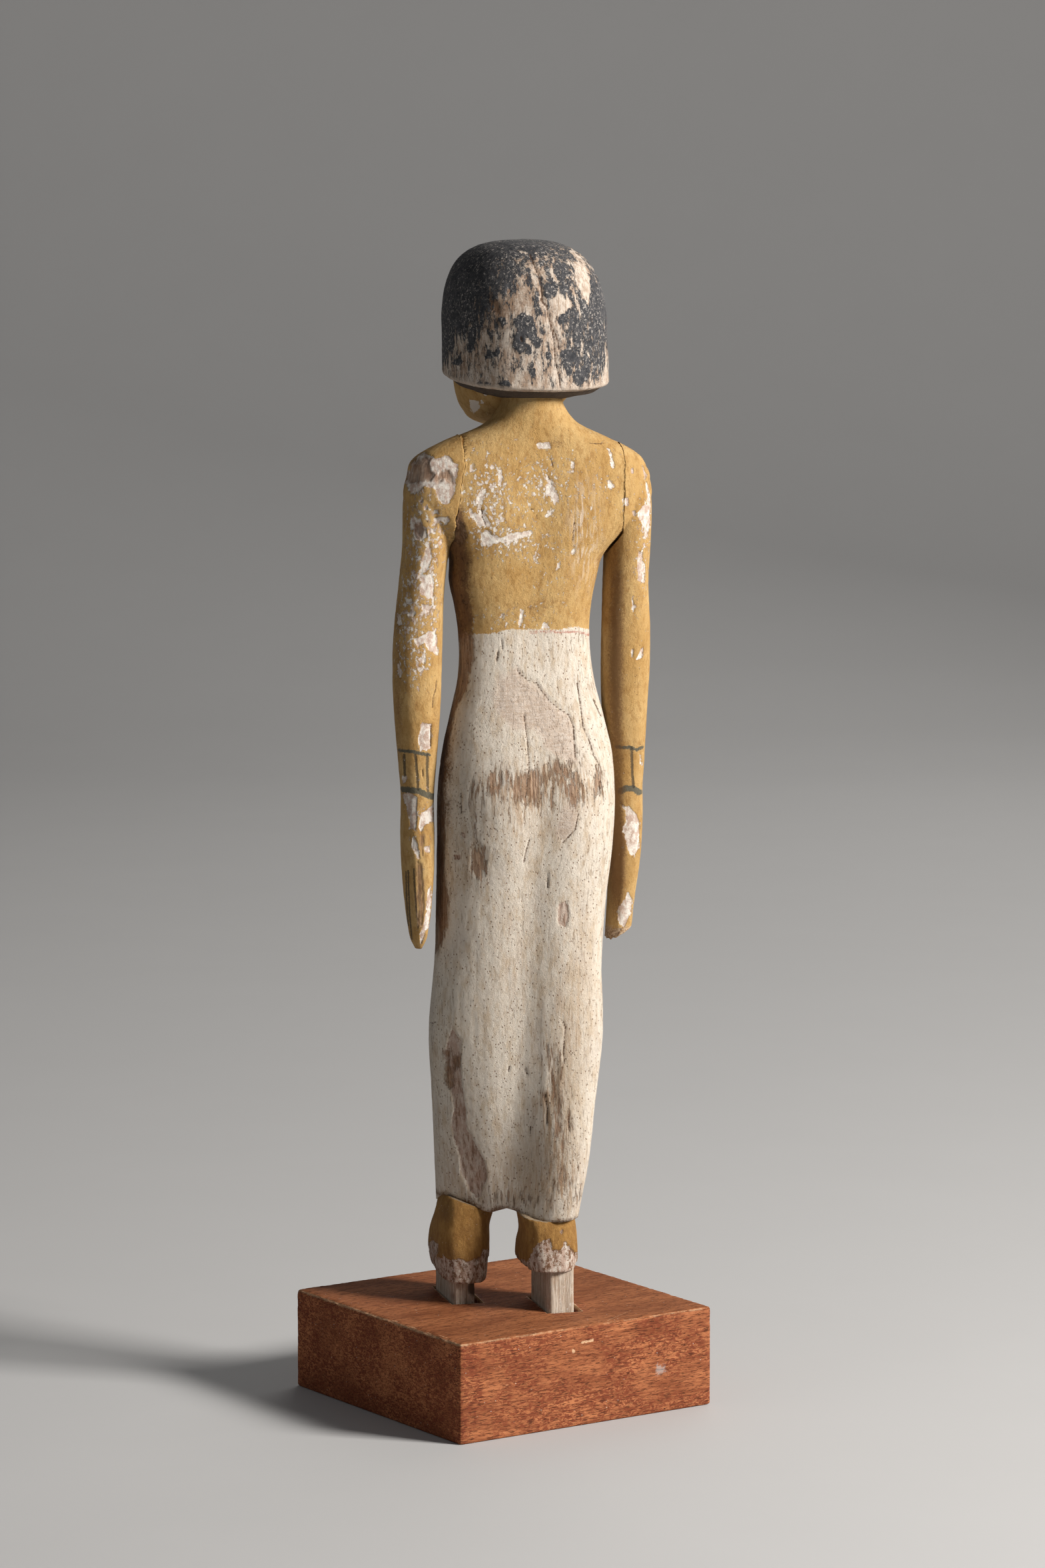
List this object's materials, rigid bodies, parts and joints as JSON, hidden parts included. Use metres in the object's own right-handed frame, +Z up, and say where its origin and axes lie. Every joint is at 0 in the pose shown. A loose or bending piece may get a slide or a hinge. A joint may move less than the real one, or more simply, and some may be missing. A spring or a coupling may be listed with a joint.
{
  "type": "wooden statuette",
  "caption": "Painted wooden statuette of a standing woman in a round wig and long tight skirt, arms at the sides, set by tenons in a square wooden base.",
  "frame": {"origin": "middle of the base's underside", "axes": "+Z up from the base to the crown of the wig; the base's sides are square to X and Y; the figure faces -Y turned about 20 degrees towards -X, and its left side is towards +X"},
  "size_m": [0.09, 0.09, 0.347],
  "materials": {
    "painted_wood": "worn matt paint over plaster and wood",
    "base_wood": "smooth low sheen"
  },
  "bodies": {
    "root": {"figure": "painted_wood", "left_arm": "painted_wood", "right_arm": "painted_wood", "base": "base_wood"}
  },
  "joints": []
}
